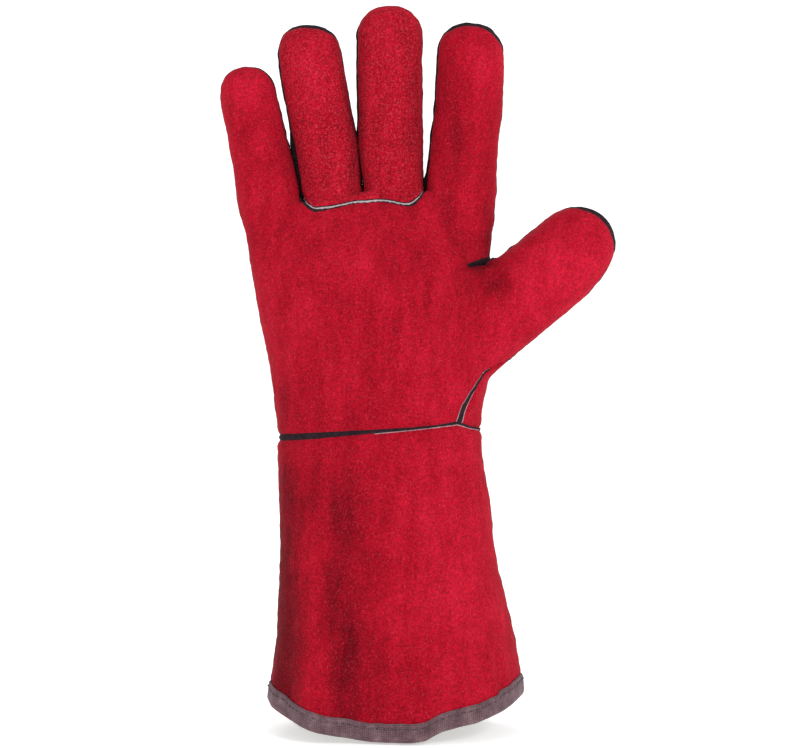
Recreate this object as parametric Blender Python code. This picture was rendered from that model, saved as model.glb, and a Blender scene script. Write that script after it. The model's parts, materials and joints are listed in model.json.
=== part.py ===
"""Welding gauntlet, right hand: split-leather panels, welts, lining and bound hem.

Metres, +Z towards the fingertips, -Y is the palm side, +X the thumb side.
z = 0 is the lowest point of the cuff's mouth.
"""
import math

import bpy
import bmesh
import numpy as np
from mathutils import Matrix, Vector

MM = 0.001
LEATHER = 1.4
LINING_OUT = 2.2
LINING_IN = 3.2
POWER = 2.3
TRUNK_SIDES = 36
DIGIT_SIDES = 20
HEM_RISE = 12.0
WRIST_Z = 139.0
PALM_TOP = 234.0
KNUCKLE_Z = 250.0
BASE_SEAM = 0.3
TIP_SEAM = 1.0
WELT_HALF = 0.4
BINDING_HEIGHT = 8.0

# height, left edge, right edge, half depth of the cuff and the hand, in mm
TRUNK = np.array([
    (0.0, -60.6, 58.4, 45.0),
    (22.0, -59.6, 59.0, 44.0),
    (45.0, -56.9, 54.8, 42.0),
    (70.0, -55.6, 49.2, 39.0),
    (98.0, -55.2, 45.0, 35.0),
    (120.0, -55.8, 42.0, 32.6),
    (139.0, -55.9, 40.2, 31.6),
    (155.0, -57.5, 41.4, 31.0),
    (170.0, -59.4, 45.0, 30.6),
    (184.0, -62.3, 46.0, 30.0),
    (200.0, -65.8, 44.0, 29.0),
    (217.0, -68.9, 43.5, 24.5),
    (234.0, -71.4, 45.2, 19.0),
    (250.0, -75.0, 47.3, 14.8),
    (252.0, -75.0, 47.3, 14.4),
])

# hinge point x and z, angle from vertical in degrees, length, half widths at
# base and tip, half depths at base and tip, middle joint, both joints' ranges
DIGITS = {
    "little": (-59.8, 250.0, -10.4, 64.6, 14.6, 13.6, 13.6, 12.4, 31.0, 45.0, 60.0),
    "ring": (-29.6, 250.0, -8.4, 84.9, 13.6, 13.6, 14.0, 13.0, 41.0, 45.0, 60.0),
    "middle": (-1.4, 250.0, -1.05, 93.0, 13.6, 13.6, 14.2, 13.2, 45.0, 45.0, 60.0),
    "index": (30.6, 250.0, 3.4, 85.5, 16.7, 15.8, 14.2, 13.2, 42.0, 45.0, 60.0),
    "thumb": (57.6, 203.8, 50.5, 58.0, 19.5, 18.3, 16.5, 15.5, 26.0, 35.0, 45.0),
}
FINGERS = ("little", "ring", "middle", "index")
FINGER_EDGES = (-90.0, -44.9, -15.5, 13.1, 60.0)

RED = (0.56, 0.012, 0.03, 1.0)
DARK = (0.035, 0.033, 0.036, 1.0)
COTTON = (0.72, 0.69, 0.62, 1.0)
TAPE = (0.24, 0.17, 0.18, 1.0)


def clear_scene():
    for item in list(bpy.data.objects):
        bpy.data.objects.remove(item, do_unlink=True)


def new_collection(name):
    made = bpy.data.collections.new(name)
    bpy.context.scene.collection.children.link(made)
    return made


clear_scene()
PARTS = new_collection("welding_gauntlet")
CUTTERS = new_collection("cutters")


def principled(name, colour, roughness):
    material = bpy.data.materials.new(name)
    material.use_nodes = True
    shader = material.node_tree.nodes["Principled BSDF"]
    shader.inputs["Base Color"].default_value = colour
    shader.inputs["Roughness"].default_value = roughness
    material.diffuse_color = colour
    return material


FINISH = {
    "red": (RED, 0.9),
    "dark": (DARK, 0.8),
    "cotton": (COTTON, 0.95),
    "tape": (TAPE, 0.9),
}


def digit_matrix(name, along=0.0):
    """The frame of a digit: x across it, z along it, with its origin on a hinge."""
    x, z, angle = DIGITS[name][:3]
    tilt = math.radians(angle)
    start = Vector((x + along * math.sin(tilt), 0.0, z + along * math.cos(tilt)))
    return Matrix.Translation(start * MM) @ Matrix.Rotation(tilt, 4, "Y")


def superellipse(sides, half_x, half_y):
    angles = (np.arange(sides) + 0.5) * 2.0 * math.pi / sides
    c, s = np.cos(angles), np.sin(angles)
    x = half_x * np.sign(c) * np.abs(c) ** (2.0 / POWER)
    y = half_y * np.sign(s) * np.abs(s) ** (2.0 / POWER)
    return x, y


def loft(rings, tip=None):
    """A closed solid through rings of points, capped by fans or ended in a tip."""
    work = bmesh.new()
    rows = [[work.verts.new(Vector(p) * MM) for p in ring] for ring in rings]
    sides = len(rows[0])
    for low, high in zip(rows, rows[1:]):
        for i in range(sides):
            j = (i + 1) % sides
            work.faces.new((low[i], low[j], high[j], high[i]))
    foot = work.verts.new(Vector(np.mean(rings[0], axis=0)) * MM)
    top_point = np.mean(rings[-1], axis=0) if tip is None else tip
    top = work.verts.new(Vector(top_point) * MM)
    for i in range(sides):
        j = (i + 1) % sides
        work.faces.new((rows[0][j], rows[0][i], foot))
        work.faces.new((rows[-1][i], rows[-1][j], top))
    bmesh.ops.recalc_face_normals(work, faces=work.faces)
    mesh = bpy.data.meshes.new("loft")
    work.to_mesh(mesh)
    work.free()
    for face in mesh.polygons:
        face.use_smooth = True
    return mesh


def trunk_point(height, angle, offset):
    """A point of the cuff and hand, offset outwards from the leather's face."""
    left, right, half_y = (np.interp(height, TRUNK[:, 0], TRUNK[:, k]) for k in (1, 2, 3))
    half_x = (right - left) / 2.0 + offset
    half_y = half_y + offset
    c, s = math.cos(angle), math.sin(angle)
    across = math.copysign(abs(c) ** (2.0 / POWER), c)
    x = (left + right) / 2.0 + half_x * across
    y = half_y * math.copysign(abs(s) ** (2.0 / POWER), s)
    lift = HEM_RISE * across ** 2 * max(0.0, 1.0 - height / 70.0)
    return (x, y, height + lift)


def trunk_mesh(offset, low, high, sides=TRUNK_SIDES):
    inside = [z for z in TRUNK[:, 0] if low + 2.0 < z < high - 2.0]
    heights = [low] + inside + [high]
    angles = [(i + 0.5) * 2.0 * math.pi / sides for i in range(sides)]
    return loft([[trunk_point(z, a, offset) for a in angles] for z in heights])


def digit_size(name, along, offset):
    """Half width and half depth of a digit, rounding off to nothing at its tip."""
    length, wide0, wide1, deep0, deep1 = DIGITS[name][3:8]
    part = min(max(along / length, 0.0), 1.0)
    wide = wide0 + (wide1 - wide0) * part + offset
    deep = deep0 + (deep1 - deep0) * part + offset
    radius = wide1 * 1.05 + offset
    past = (along - (length + offset - radius)) / radius
    if past > 0.0:
        close = max(0.0, 1.0 - min(past, 1.0) ** 2.2) ** (1.0 / 2.2)
        wide, deep = wide * close, deep * close
    return wide, deep


def digit_mesh(name, offset, start, end=None, sheared=False, origin=0.0, sides=DIGIT_SIDES):
    """A digit's solid between two distances along it, or on to its tip."""
    tilt = math.radians(DIGITS[name][2])
    length, tip_wide = DIGITS[name][3] + offset, DIGITS[name][5]
    radius = tip_wide * 1.05 + offset
    if end is None:
        turns = [0.0, 0.25, 0.45, 0.62, 0.77, 0.9, 0.97]
        stops = [start] + [length - radius + radius * math.sin(t * math.pi / 2) for t in turns]
    else:
        stops = [start, (start + end) / 2.0, end] if end - start > 16.0 else [start, end]
    rings = []
    for k, along in enumerate(stops):
        x, y = superellipse(sides, *digit_size(name, along, offset))
        lean = np.tan(tilt) * x if sheared and k == 0 else np.zeros(sides)
        rings.append(np.column_stack((x, y, along + lean - origin)))
    tip = (0.0, 0.0, length - origin) if end is None else None
    return loft(rings, tip)


def box_mesh(low, high):
    work = bmesh.new()
    bmesh.ops.create_cube(work, size=1.0)
    for vert in work.verts:
        vert.co = Vector([(a + b) / 2 + v * (b - a) for a, b, v in zip(low, high, vert.co)]) * MM
    mesh = bpy.data.meshes.new("box")
    work.to_mesh(mesh)
    work.free()
    return mesh


def cutter(name, mesh, matrix=None):
    made = bpy.data.objects.new("cut_" + name, mesh)
    made.hide_render = True
    made.display_type = "WIRE"
    if matrix is not None:
        made.matrix_world = matrix
    CUTTERS.objects.link(made)
    return made


def part(name, mesh, finish, steps=(), matrix=None):
    """One node: its solid, its material and the Booleans that shape it."""
    made = bpy.data.objects.new(name, mesh)
    made.data.name = name
    made.data.materials.append(principled(name, *FINISH[finish]))
    if matrix is not None:
        made.matrix_world = matrix
    PARTS.objects.link(made)
    for operation, other in steps:
        step = made.modifiers.new(operation.lower(), "BOOLEAN")
        step.operation = operation
        step.solver = "EXACT"
        step.object = other
    return made


def half_space(name, side, gap, matrix=None, low=-80.0, high=400.0):
    """A box covering one side of the side seams, gap away from their plane."""
    if side == "front":
        return cutter(name, box_mesh((-200, -120, low), (200, -gap, high)), matrix)
    return cutter(name, box_mesh((-200, gap, low), (200, 120, high)), matrix)


def crease_length(half_depth, degrees):
    return half_depth * math.sin(math.radians(degrees)) + 0.5


# ---------------------------------------------------------------- cuff and hand
trunk_inner = cutter("trunk_inner", trunk_mesh(-LEATHER, -12.0, 262.0))
trunk_lining = cutter("trunk_lining", trunk_mesh(-LINING_IN, -12.0, 262.0))
thumb_frame = digit_matrix("thumb")
thumb_inner = cutter("thumb_inner", digit_mesh("thumb", -LEATHER, -78.0), thumb_frame)
thumb_liner = cutter("thumb_liner", digit_mesh("thumb", -LINING_IN, -78.0), thumb_frame)
thumb_crease = crease_length(DIGITS["thumb"][6], DIGITS["thumb"][9])
front_stub = cutter(
    "front_stub", digit_mesh("thumb", 0.0, -74.0, -thumb_crease - 0.4), thumb_frame)
back_stub = cutter("back_stub", digit_mesh("thumb", 0.0, -74.0, -0.3), thumb_frame)
lining_stub = cutter(
    "lining_stub",
    digit_mesh("thumb", -LINING_OUT, -74.0, -thumb_crease - 0.4), thumb_frame)
front_clear = cutter(
    "front_clear", digit_mesh("thumb", 0.5, -thumb_crease - 0.3, 14.0), thumb_frame)
back_clear = cutter("back_clear", digit_mesh("thumb", 0.5, -0.2, 14.0), thumb_frame)

part("cuff_front", trunk_mesh(0.0, 0.0, 200.0), "red", [
    ("DIFFERENCE", trunk_inner),
    ("INTERSECT", half_space("cuff_front", "front", TIP_SEAM, high=WRIST_Z - 1.0)),
])
part("cuff_back", trunk_mesh(0.0, 0.0, 200.0), "red", [
    ("DIFFERENCE", trunk_inner),
    ("INTERSECT", half_space("cuff_back", "back", TIP_SEAM, high=WRIST_Z - 1.0)),
])
palm_box = half_space(
    "palm_front", "front", TIP_SEAM, low=WRIST_Z + 1.0, high=PALM_TOP)
part("palm_front", trunk_mesh(0.0, 100.0, 252.0), "red", [
    ("UNION", front_stub),
    ("DIFFERENCE", trunk_inner),
    ("DIFFERENCE", thumb_inner),
    ("DIFFERENCE", front_clear),
    ("INTERSECT", palm_box),
])
back_box = half_space(
    "hand_back", "back", TIP_SEAM, low=WRIST_Z + 1.0, high=KNUCKLE_Z - 0.2)
part("hand_back", trunk_mesh(0.0, 100.0, 252.0), "red", [
    ("UNION", back_stub),
    ("DIFFERENCE", trunk_inner),
    ("DIFFERENCE", thumb_inner),
    ("DIFFERENCE", back_clear),
    ("INTERSECT", back_box),
])
lining_clear = cutter(
    "lining_clear", digit_mesh("thumb", 0.4, -thumb_crease - 0.35, 14.0), thumb_frame)
knuckle_room = cutter(
    "knuckle_room", box_mesh((-120, -120, PALM_TOP - 0.4), (120, 1.0, 300.0)))
part("hand_lining", trunk_mesh(-LINING_OUT, 1.0, KNUCKLE_Z - 0.6, 34), "cotton", [
    ("UNION", lining_stub),
    ("DIFFERENCE", lining_clear),
    ("DIFFERENCE", trunk_lining),
    ("DIFFERENCE", thumb_liner),
    ("DIFFERENCE", knuckle_room),
])


# ------------------------------------------------------------- hem and its welts
def swept_ring(profile, sides=44):
    """A ring of one profile, given as (outward offset, height), round the trunk."""
    work = bmesh.new()
    rows = []
    for i in range(sides):
        angle = (i + 0.5) * 2.0 * math.pi / sides
        points = [trunk_point(height, angle, offset) for offset, height in profile]
        rows.append([work.verts.new(Vector(p) * MM) for p in points])
    for i in range(sides):
        here, there = rows[i], rows[(i + 1) % sides]
        for k in range(len(profile)):
            n = (k + 1) % len(profile)
            work.faces.new((here[k], there[k], there[n], here[n]))
    bmesh.ops.recalc_face_normals(work, faces=work.faces)
    mesh = bpy.data.meshes.new("ring")
    work.to_mesh(mesh)
    work.free()
    for face in mesh.polygons:
        face.use_smooth = True
    return mesh


BOTTOM = 1.4
hem_profile = [
    (0.4, BINDING_HEIGHT), (0.4, 0.0 - 0.4), (-3.8, 0.0 - 0.4), (-3.8, BINDING_HEIGHT),
    (-4.8, BINDING_HEIGHT), (-4.8, 0.0 - BOTTOM), (1.4, 0.0 - BOTTOM), (1.4, BINDING_HEIGHT),
]
part("hem_binding", swept_ring(hem_profile), "tape")
part("wrist_welt", swept_ring([
    (0.9, WRIST_Z - 0.6), (0.9, WRIST_Z + 0.6), (-1.6, WRIST_Z + 0.6), (-1.6, WRIST_Z - 0.6),
]), "dark")

welt_inner = cutter("welt_inner", trunk_mesh(-1.6, -12.0, 262.0))
welt_thumb = cutter("welt_thumb", digit_mesh("thumb", 0.6, -74.0, -0.4), thumb_frame)
welt_thumb_in = cutter("welt_thumb_in", digit_mesh("thumb", -1.5, -78.0), thumb_frame)
for name, low_x, high_x, low_z, high_z in (
        ("cuff_welt_left", -90.0, -30.0, BINDING_HEIGHT + HEM_RISE + 0.6, WRIST_Z - 1.0),
        ("cuff_welt_right", 20.0, 90.0, BINDING_HEIGHT + HEM_RISE + 0.6, WRIST_Z - 1.0),
        ("hand_welt_left", -90.0, -30.0, WRIST_Z + 1.0, KNUCKLE_Z - 0.6)):
    box = box_mesh((low_x, -WELT_HALF, low_z), (high_x, WELT_HALF, high_z))
    part(name, trunk_mesh(0.6, 8.0, 252.0), "dark", [
        ("DIFFERENCE", welt_inner),
        ("INTERSECT", cutter(name, box)),
    ])
box = box_mesh((0.0, -WELT_HALF, WRIST_Z + 1.0), (120.0, WELT_HALF, 200.0))
part("hand_welt_right", trunk_mesh(0.6, 100.0, 252.0), "dark", [
    ("UNION", welt_thumb),
    ("DIFFERENCE", welt_inner),
    ("DIFFERENCE", welt_thumb_in),
    ("INTERSECT", cutter("hand_welt_right", box)),
    ("DIFFERENCE", cutter("welt_end", digit_mesh("thumb", 3.0, -0.6, 14.0), thumb_frame)),
])
box = box_mesh((30.0, -WELT_HALF, 221.0), (90.0, WELT_HALF, KNUCKLE_Z - 0.6))
part("index_side_welt", trunk_mesh(0.6, 180.0, 252.0), "dark", [
    ("DIFFERENCE", welt_inner),
    ("INTERSECT", cutter("index_side_welt", box)),
])

# -------------------------------------------------------------- fingers and thumb
for name, row in DIGITS.items():
    wide, deep, joint = row[4], row[6], row[8]
    frame, far = digit_matrix(name), digit_matrix(name, joint)
    fold = crease_length(deep, row[10])
    sheared = name != "thumb"
    hollow = cutter(name + "_hollow", digit_mesh(name, -LEATHER, -30.0), frame)
    front = half_space(name + "_front", "front", BASE_SEAM, frame)
    back = half_space(name + "_back", "back", BASE_SEAM, frame)
    tip_front = half_space(name + "_tip_front", "front", TIP_SEAM, frame)
    tip_back = half_space(name + "_tip_back", "back", TIP_SEAM, frame)
    base_front = digit_mesh(name, 0.0, 0.3, joint - fold, sheared)
    base_back = digit_mesh(name, 0.0, 0.3, joint - 0.2, sheared)
    tip_end = digit_mesh(name, 0.0, joint + 0.2, None, False, joint)
    part(name + "_base_front", base_front, "red",
         [("DIFFERENCE", hollow), ("INTERSECT", front)], frame)
    part(name + "_base_back", base_back, "red",
         [("DIFFERENCE", hollow), ("INTERSECT", back)], frame)
    part(name + "_tip_front", tip_end, "red",
         [("DIFFERENCE", hollow), ("INTERSECT", tip_front)], far)
    part(name + "_tip_back", tip_end.copy(), "red",
         [("DIFFERENCE", hollow), ("INTERSECT", tip_back)], far)
    part(name + "_mid_crease", digit_mesh(name, 0.0, joint - fold + 0.3, joint - 0.2),
         "red", [("DIFFERENCE", hollow), ("INTERSECT", front)], frame)
    slab = cutter(name + "_slab", box_mesh((-60, -WELT_HALF, joint + 0.5),
                                           (60, WELT_HALF, 120)), frame)
    inner = cutter(name + "_welt_in", digit_mesh(name, -LEATHER - 0.2, -30.0), frame)
    part(name + "_tip_welt", digit_mesh(name, 0.0, joint + 0.2, None, False, joint), "dark",
         [("DIFFERENCE", inner), ("INTERSECT", slab)], far)
    start = 0.3 if sheared else -thumb_crease
    liner = cutter(name + "_liner", digit_mesh(name, -LINING_IN, -40.0, sides=14), frame)
    part(name + "_lining", digit_mesh(name, -LINING_OUT, start, None, sheared, sides=14),
         "cotton", [("DIFFERENCE", liner)], frame)

front_shell = half_space("knuckles", "front", TIP_SEAM)
for k, name in enumerate(FINGERS):
    box = box_mesh((FINGER_EDGES[k] + 0.3, -120, PALM_TOP + 0.5),
                   (FINGER_EDGES[k + 1] - 0.3, 0, KNUCKLE_Z - 0.3))
    part(name + "_knuckle_crease", trunk_mesh(0.0, 200.0, 252.0), "red", [
        ("DIFFERENCE", trunk_inner),
        ("INTERSECT", front_shell),
        ("INTERSECT", cutter(name + "_knuckle", box)),
    ])
part("thumb_knuckle_crease", digit_mesh("thumb", 0.0, -thumb_crease, -0.1), "red", [
    ("DIFFERENCE", thumb_inner),
    ("INTERSECT", half_space("thumb_knuckle", "front", TIP_SEAM, thumb_frame)),
], thumb_frame)


# ----------------------------------------------------- seams raised on the palm
def palm_depth(x, z):
    """How far the palm's leather stands in front of the seam plane."""
    left, right, half_y = (np.interp(z, TRUNK[:, 0], TRUNK[:, k]) for k in (1, 2, 3))
    across = min(1.0, abs(x - (left + right) / 2.0) / ((right - left) / 2.0))
    deep = half_y * (1.0 - across ** POWER) ** (1.0 / POWER)
    local = thumb_frame.inverted() @ (Vector((x, 0.0, z)) * MM) / MM
    wide, thick = digit_size("thumb", local.z, 0.0)
    beside = min(1.0, abs(local.x) / wide)
    return max(deep, thick * (1.0 - beside ** POWER) ** (1.0 / POWER))


def cord(name, points, radius, finish):
    curve = bpy.data.curves.new(name, "CURVE")
    curve.dimensions = "3D"
    curve.bevel_depth = radius * MM
    curve.bevel_resolution = 2
    curve.use_fill_caps = True
    line = curve.splines.new("POLY")
    line.points.add(len(points) - 1)
    for point, place in zip(line.points, points):
        point.co = (*(Vector(place) * MM), 1.0)
    made = bpy.data.objects.new(name, curve)
    curve.materials.append(principled(name, *FINISH[finish]))
    PARTS.objects.link(made)
    return made


def laid(points, radius):
    return [(x, -palm_depth(x, z) - radius - 1.1, z) for x, z in points]


SEAM_R = 0.8
cord("thumb_seam_welt", laid([
    (29.5, 143.0), (31.5, 150.0), (35.0, 158.0), (38.0, 163.0), (41.5, 167.5),
], SEAM_R), SEAM_R, "dark")
cord("finger_seam_welt", laid([
    (-42.5, 248.8), (-36.0, 247.0), (-29.0, 247.4), (-20.0, 248.8), (-15.0, 249.2),
    (-8.0, 248.6), (3.0, 247.6), (8.0, 248.4), (12.0, 249.2),
], SEAM_R), SEAM_R, "dark")

bpy.context.view_layer.update()
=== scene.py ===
"""The looks of a welding gauntlet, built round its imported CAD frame.

Lengths in this file are millimetres until a mesh is made. +Z runs to the
fingertips, -Y is the palm side and +X is the thumb side.
"""
import json
import math

import bmesh
import bpy
import numpy as np
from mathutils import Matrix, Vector, noise
from mathutils.bvhtree import BVHTree


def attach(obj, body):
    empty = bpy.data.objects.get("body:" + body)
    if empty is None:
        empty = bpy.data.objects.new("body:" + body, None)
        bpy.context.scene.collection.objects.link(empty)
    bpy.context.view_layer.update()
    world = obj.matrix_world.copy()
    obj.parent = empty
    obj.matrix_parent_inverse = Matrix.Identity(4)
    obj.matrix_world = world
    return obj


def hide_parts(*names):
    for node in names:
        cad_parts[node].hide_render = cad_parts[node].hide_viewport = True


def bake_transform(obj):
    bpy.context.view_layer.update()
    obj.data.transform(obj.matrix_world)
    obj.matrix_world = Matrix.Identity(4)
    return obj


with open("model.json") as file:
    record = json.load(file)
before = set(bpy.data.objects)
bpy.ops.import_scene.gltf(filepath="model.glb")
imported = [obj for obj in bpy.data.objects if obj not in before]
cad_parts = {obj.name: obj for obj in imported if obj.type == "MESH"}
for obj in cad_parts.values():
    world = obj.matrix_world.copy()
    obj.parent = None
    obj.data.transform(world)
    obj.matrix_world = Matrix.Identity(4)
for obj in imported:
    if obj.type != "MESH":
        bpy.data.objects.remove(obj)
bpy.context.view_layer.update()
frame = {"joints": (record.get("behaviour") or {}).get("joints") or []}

MM = 0.001
TAU = 2.0 * math.pi
POWER = 2.3           # how square the tubes' sections are, where 2 is an ellipse
SHRINK = 1.7          # how far inside its outline each tube starts, before the skin swells
VOXEL = 1.3
LINING_DEPTH = 3.2
DEEPEST = 2.7         # no groove is deeper than this, so the lining stays covered
RAW_EDGE = 0.3        # how wide the raw edges beside the thumb's seam show
WRIST_EDGE = 0.4
CUFF_MIDDLE = -1.0    # the cuff's middle in x, and its half width and depth at the hem
CUFF_WIDE, CUFF_DEEP = 61.0, 46.0
FINGERS = ("little", "ring", "middle", "index")
DIGITS = FINGERS + ("thumb",)


def add_object(name, data):
    made = bpy.data.objects.new(name, data)
    bpy.context.scene.collection.objects.link(made)
    return made


# ---------- the camera
camera = add_object("camera", bpy.data.cameras.new("camera"))
camera.location = (0.0019, -1.0, 0.1676)
camera.rotation_euler = (math.pi / 2.0, 0.0, 0.0)
camera.data.sensor_width = 36.0
camera.data.lens = 94.6
bpy.context.scene.camera = camera
bpy.context.scene.view_settings.view_transform = "Standard"

# ---------- the tubes
# the hand and cuff: height, left edge, right edge, half depth
TRUNK = np.array([
    (-20.0, -60.8, 57.6, 45.4), (0.0, -60.6, 58.4, 45.0), (12.0, -60.4, 59.0, 44.6),
    (22.0, -59.8, 59.2, 44.2), (41.0, -57.3, 55.8, 42.6), (60.0, -56.1, 51.6, 40.4),
    (79.0, -55.3, 47.8, 37.8), (98.0, -55.2, 45.2, 35.2), (117.0, -55.7, 42.4, 33.0),
    (128.0, -56.1, 41.2, 32.0), (139.0, -55.8, 40.4, 31.4), (147.0, -56.8, 40.6, 31.6),
    (155.0, -57.7, 41.4, 31.8), (170.0, -59.4, 45.0, 31.4), (184.0, -62.3, 46.0, 30.8),
    (200.0, -65.6, 44.0, 29.2), (217.0, -69.1, 43.5, 26.0), (234.0, -70.9, 45.2, 21.0),
    (246.0, -72.8, 46.6, 16.6), (251.0, -73.6, 47.0, 14.6),
])
# x, and how far the trunk's top is lifted there, between the fingers' bases
WEB = np.array([(-80.0, -5.0), (-60.0, -3.0), (-44.0, -2.0), (-30.0, 0.0), (-15.0, 3.0),
                (0.0, 3.0), (13.0, 4.0), (30.0, 1.0), (60.0, -2.0)])
# centre x, height, half width, half depth, y of the centre; the last row is the tip
PATHS = {
    "little": [(-55.5, 228.0, 13.5, 13.0, 0.0), (-59.8, 250.0, 14.9, 13.8, 0.0),
               (-62.4, 265.0, 14.4, 13.8, -0.4), (-65.2, 278.0, 13.9, 13.6, -1.2),
               (-68.0, 290.0, 13.4, 13.2, -2.4), (-70.3, 300.0, 13.0, 12.8, -3.8),
               (-71.8, 312.0, 12.7, 12.4, -6.0)],
    "ring": [(-26.5, 228.0, 13.4, 14.0, 0.0), (-29.6, 250.0, 14.1, 14.2, 0.0),
             (-32.6, 270.0, 14.9, 14.3, -0.4), (-35.2, 285.0, 15.2, 14.3, -1.4),
             (-37.3, 298.0, 15.2, 14.1, -2.8), (-39.2, 310.0, 15.2, 13.8, -4.4),
             (-40.3, 320.0, 15.1, 13.4, -6.0), (-40.3, 332.3, 14.9, 13.0, -8.4)],
    "middle": [(-1.5, 228.0, 13.6, 14.2, 0.0), (-1.4, 252.0, 14.1, 14.4, 0.0),
               (-2.4, 272.0, 15.0, 14.5, -0.5), (-2.9, 290.0, 15.5, 14.4, -1.8),
               (-3.1, 308.0, 15.8, 14.1, -3.8), (-3.1, 325.0, 15.8, 13.6, -6.4),
               (-3.1, 340.8, 15.4, 13.0, -9.4)],
    "index": [(28.5, 228.0, 16.2, 14.4, 0.0), (30.5, 252.0, 16.8, 14.6, 0.0),
              (32.3, 274.0, 16.4, 14.6, -0.5), (33.9, 290.0, 16.4, 14.4, -1.6),
              (34.7, 305.0, 16.3, 14.1, -3.2), (35.3, 319.0, 15.9, 13.7, -5.0),
              (35.7, 332.6, 15.4, 13.2, -7.6)],
    "thumb": [(0.5, 156.7, 15.0, 14.0, 0.0), (15.9, 169.4, 19.0, 17.0, 0.0),
              (31.4, 182.1, 20.9, 18.6, -0.5), (46.8, 194.9, 20.4, 18.0, -1.5),
              (62.3, 207.6, 19.9, 17.2, -3.0), (77.7, 220.3, 19.5, 16.4, -5.0),
              (87.6, 230.9, 18.5, 15.8, -7.0), (97.6, 242.2, 17.2, 15.2, -10.0)],
}
# a digit's rounded end: its length against a round one, and its curve's power
ROUND_CAP = (1.0, 2.25)
CAPS = {"thumb": (1.25, 2.05)}


def superellipse(angles):
    c, s = np.cos(angles), np.sin(angles)
    return (np.sign(c) * np.abs(c) ** (2.0 / POWER),
            np.sign(s) * np.abs(s) ** (2.0 / POWER))


def smooth_rows(rows, count):
    """Rows of numbers resampled along a smooth curve through them."""
    rows = np.array(rows, float)
    p = np.vstack((2 * rows[0] - rows[1], rows, 2 * rows[-1] - rows[-2]))
    out = []
    for k in range(len(rows) - 1):
        a, b, c, d = p[k:k + 4]
        for t in np.arange(count) / count:
            out.append(0.5 * (2 * b + (c - a) * t + (2 * a - 5 * b + 4 * c - d) * t * t
                              + (3 * b - a - 3 * c + d) * t ** 3))
    out.append(rows[-1])
    return np.array(out)


def closed_loft(rings):
    """Vertices and faces of a solid through rings, with a fan at each end."""
    sides = len(rings[0])
    verts = [p for ring in rings for p in ring]
    faces = []
    for k in range(len(rings) - 1):
        for i in range(sides):
            j = (i + 1) % sides
            faces.append((k * sides + i, k * sides + j,
                          (k + 1) * sides + j, (k + 1) * sides + i))
    last = (len(rings) - 1) * sides
    verts += [np.mean(rings[0], axis=0), np.mean(rings[-1], axis=0)]
    for i in range(sides):
        j = (i + 1) % sides
        faces.append((j, i, len(verts) - 2))
        faces.append((last + i, last + j, len(verts) - 1))
    return verts, faces


def trunk_solid():
    """The hand and cuff as one closed tube."""
    rows = smooth_rows(TRUNK, 4)
    angles = (np.arange(96) + 0.5) * TAU / 96
    across, along = superellipse(angles)
    rings = []
    for z, left, right, deep in rows:
        x = (left + right) / 2 + ((right - left) / 2 - SHRINK) * across
        y = (deep - SHRINK) * along
        near = np.clip((z - 215.0) / (TRUNK[-1][0] - 215.0), 0.0, 1.0)
        lift = np.interp(x, WEB[:, 0], WEB[:, 1]) * near - SHRINK * near
        rings.append(np.column_stack((x, y, z + lift)))
    return closed_loft(rings)


def digit_solid(name):
    """A finger or the thumb, from inside the hand to its rounded tip."""
    rows = smooth_rows(PATHS[name], 6)
    stretch, curve = CAPS.get(name, ROUND_CAP)
    radius = ((rows[-1][2] + rows[-1][3]) / 2 - SHRINK) * stretch
    angles = (np.arange(56) + 0.5) * TAU / 56
    across, along = superellipse(angles)
    steps = np.linalg.norm(np.diff(rows[:, (0, 1)], axis=0), axis=1)
    run = np.concatenate(([0.0], np.cumsum(steps)))
    total = run[-1] - SHRINK
    stops = list(np.arange(0.0, total - radius, 2.0))
    stops += list(total - radius + radius * np.sin(np.linspace(0.0, 1.52, 12)))
    rings = []
    for stop in stops:
        behind, row, ahead = (np.array([np.interp(stop + step, run, column) for column in rows.T])
                              for step in (-1.0, 0.0, 1.0))
        d = (ahead - behind)[:2]
        d /= np.linalg.norm(d)
        past = np.clip((stop - (total - radius)) / radius, 0.0, 1.0)
        close = (1.0 - past ** curve) ** (1.0 / curve)
        u = (row[2] - SHRINK) * close * across
        x = row[0] + u * d[1]
        z = row[1] - u * d[0]
        y = row[4] + (row[3] - SHRINK) * close * along
        rings.append(np.column_stack((x, y, z)))
    return closed_loft(rings)


def web_solid():
    """The rounded fold of leather between the index finger and the thumb."""
    angles = (np.arange(32) + 0.5) * TAU / 32
    rings = []
    for t in np.linspace(-1.5, 1.5, 11):
        x = 45.6 + 8.4 * math.cos(t) * np.cos(angles)
        y = 11.0 * math.cos(t) * np.sin(angles) - 1.0
        z = np.full(32, 212.0 + 8.6 * math.sin(t))
        rings.append(np.column_stack((x, y, z)))
    return closed_loft(rings)


def mesh_from(name, verts, faces):
    mesh = bpy.data.meshes.new(name)
    mesh.from_pydata((np.array(verts) * MM).tolist(), [], faces)
    mesh.update()
    for face in mesh.polygons:
        face.use_smooth = True
    return mesh


def glove_skin():
    """Every tube of the glove joined into one skin by a voxel remesh."""
    verts, faces = [], []
    solids = [trunk_solid(), web_solid()] + [digit_solid(name) for name in DIGITS]
    for more_verts, more_faces in solids:
        base = len(verts)
        verts += list(more_verts)
        faces += [tuple(i + base for i in f) for f in more_faces]
    mesh = mesh_from("skin", verts, faces)
    work = bmesh.new()
    work.from_mesh(mesh)
    bmesh.ops.recalc_face_normals(work, faces=work.faces)
    work.to_mesh(mesh)
    work.free()
    holder = add_object("skin", mesh)
    remesh = holder.modifiers.new("remesh", "REMESH")
    remesh.mode = "VOXEL"
    remesh.voxel_size = VOXEL * MM
    remesh.adaptivity = 0.0
    graph = bpy.context.evaluated_depsgraph_get()
    made = bpy.data.meshes.new_from_object(holder.evaluated_get(graph))
    bpy.data.objects.remove(holder, do_unlink=True)
    return made


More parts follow.
